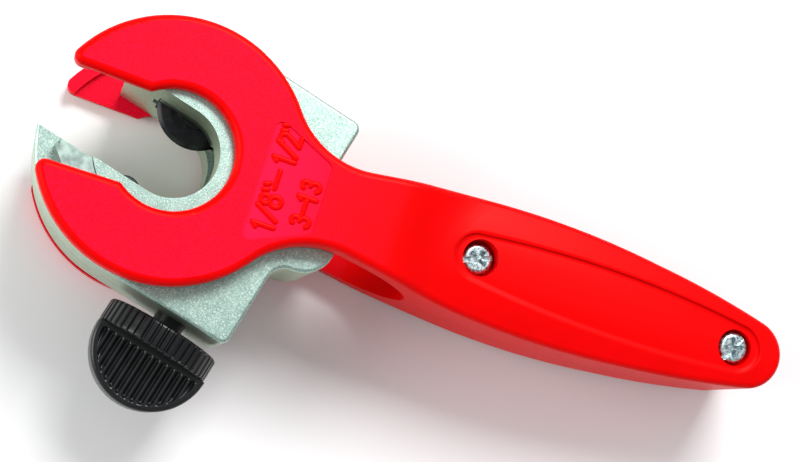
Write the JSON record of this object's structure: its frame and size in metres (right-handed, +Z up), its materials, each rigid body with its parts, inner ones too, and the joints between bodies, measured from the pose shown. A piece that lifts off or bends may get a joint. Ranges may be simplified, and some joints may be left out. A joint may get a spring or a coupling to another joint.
{
  "type": "pipe cutter",
  "caption": "Ratcheting tube cutter: a C-shaped cutter head turns in the split ring of a two-shell handle, with a sliding cutter wheel fed by a thumb knob.",
  "frame": {"origin": "on the turning axis of the cutter head, in the plane of the rear shell's flat face", "axes": "+X along the handle to its end, +Z up through the ring to the front shell, so +Y is to the left of the handle"},
  "size_m": [0.1754, 0.0832, 0.039],
  "materials": {
    "red_plastic": "fine moulded texture, satin",
    "black_plastic": "ribbed, satin",
    "zinc": "tumbled zinc casting",
    "tool_steel": "oiled",
    "black_steel": "black oxide",
    "spring_steel": "bright",
    "plated_steel": "bright zinc plate"
  },
  "bodies": {
    "handle": {"front_shell": "red_plastic", "rear_shell": "red_plastic", "handle_screws": "plated_steel", "handle_nuts": "plated_steel", "pawl_pins": "plated_steel", "pawl_spring": "spring_steel"},
    "pawl_upper": {"pawl_upper": "tool_steel"},
    "pawl_lower": {"pawl_lower": "tool_steel"},
    "head": {"body_front": "zinc", "body_rear": "zinc", "body_rivets": "plated_steel", "ratchet_ring": "tool_steel", "ring_rivets": "plated_steel", "roller_pins": "plated_steel", "thrust_washers": "plated_steel"},
    "roller_left": {"roller_left": "black_steel"},
    "roller_right": {"roller_right": "black_steel"},
    "slide": {"slide_jaw": "zinc", "wheel_pin": "plated_steel"},
    "wheel": {"cutter_wheel": "black_steel"},
    "knob": {"feed_screw": "black_steel", "thumb_knob": "black_plastic"}
  },
  "joints": [
    {"name": "head_turn", "type": "hinge", "parent": "handle", "child": "head", "pos_m": [0, 0, 0.0195], "axis": [0, 0, 1], "continuous": true},
    {"name": "pawl_upper_lift", "type": "hinge", "parent": "handle", "child": "pawl_upper", "pos_m": [0.0315, 0.0052, 0.0345], "axis": [0, 0, -1], "range_deg": [0, 8], "stiffness_Nm_per_rad": 0.02, "springref_deg": -8.59},
    {"name": "pawl_lower_lift", "type": "hinge", "parent": "handle", "child": "pawl_lower", "pos_m": [0.0315, -0.0052, 0.0345], "axis": [0, 0, 1], "range_deg": [0, 8], "stiffness_Nm_per_rad": 0.02, "springref_deg": -8.59},
    {"name": "knob_turn", "type": "hinge", "parent": "head", "child": "knob", "pos_m": [0.0105, -0.03972, 0.0195], "axis": [0.2419, 0.9703, 0], "range_deg": [0, 4320]},
    {"name": "slide_feed", "type": "slide", "parent": "head", "child": "slide", "axis": [-0.2419, -0.9703, 0], "range_m": [0, 0.012]},
    {"name": "wheel_spin", "type": "hinge", "parent": "slide", "child": "wheel", "pos_m": [0.00336, 0.01349, 0.0195], "axis": [0, 0, 1], "continuous": true},
    {"name": "roller_left_spin", "type": "hinge", "parent": "head", "child": "roller_left", "pos_m": [-0.00676, -0.01058, 0.0195], "axis": [0, 0, 1], "continuous": true},
    {"name": "roller_right_spin", "type": "hinge", "parent": "head", "child": "roller_right", "pos_m": [0.001, -0.01251, 0.0195], "axis": [0, 0, 1], "continuous": true}
  ],
  "couplings": [
    {"joint": "slide_feed", "follows": "knob_turn", "m_per_rad": 0.00015915}
  ]
}
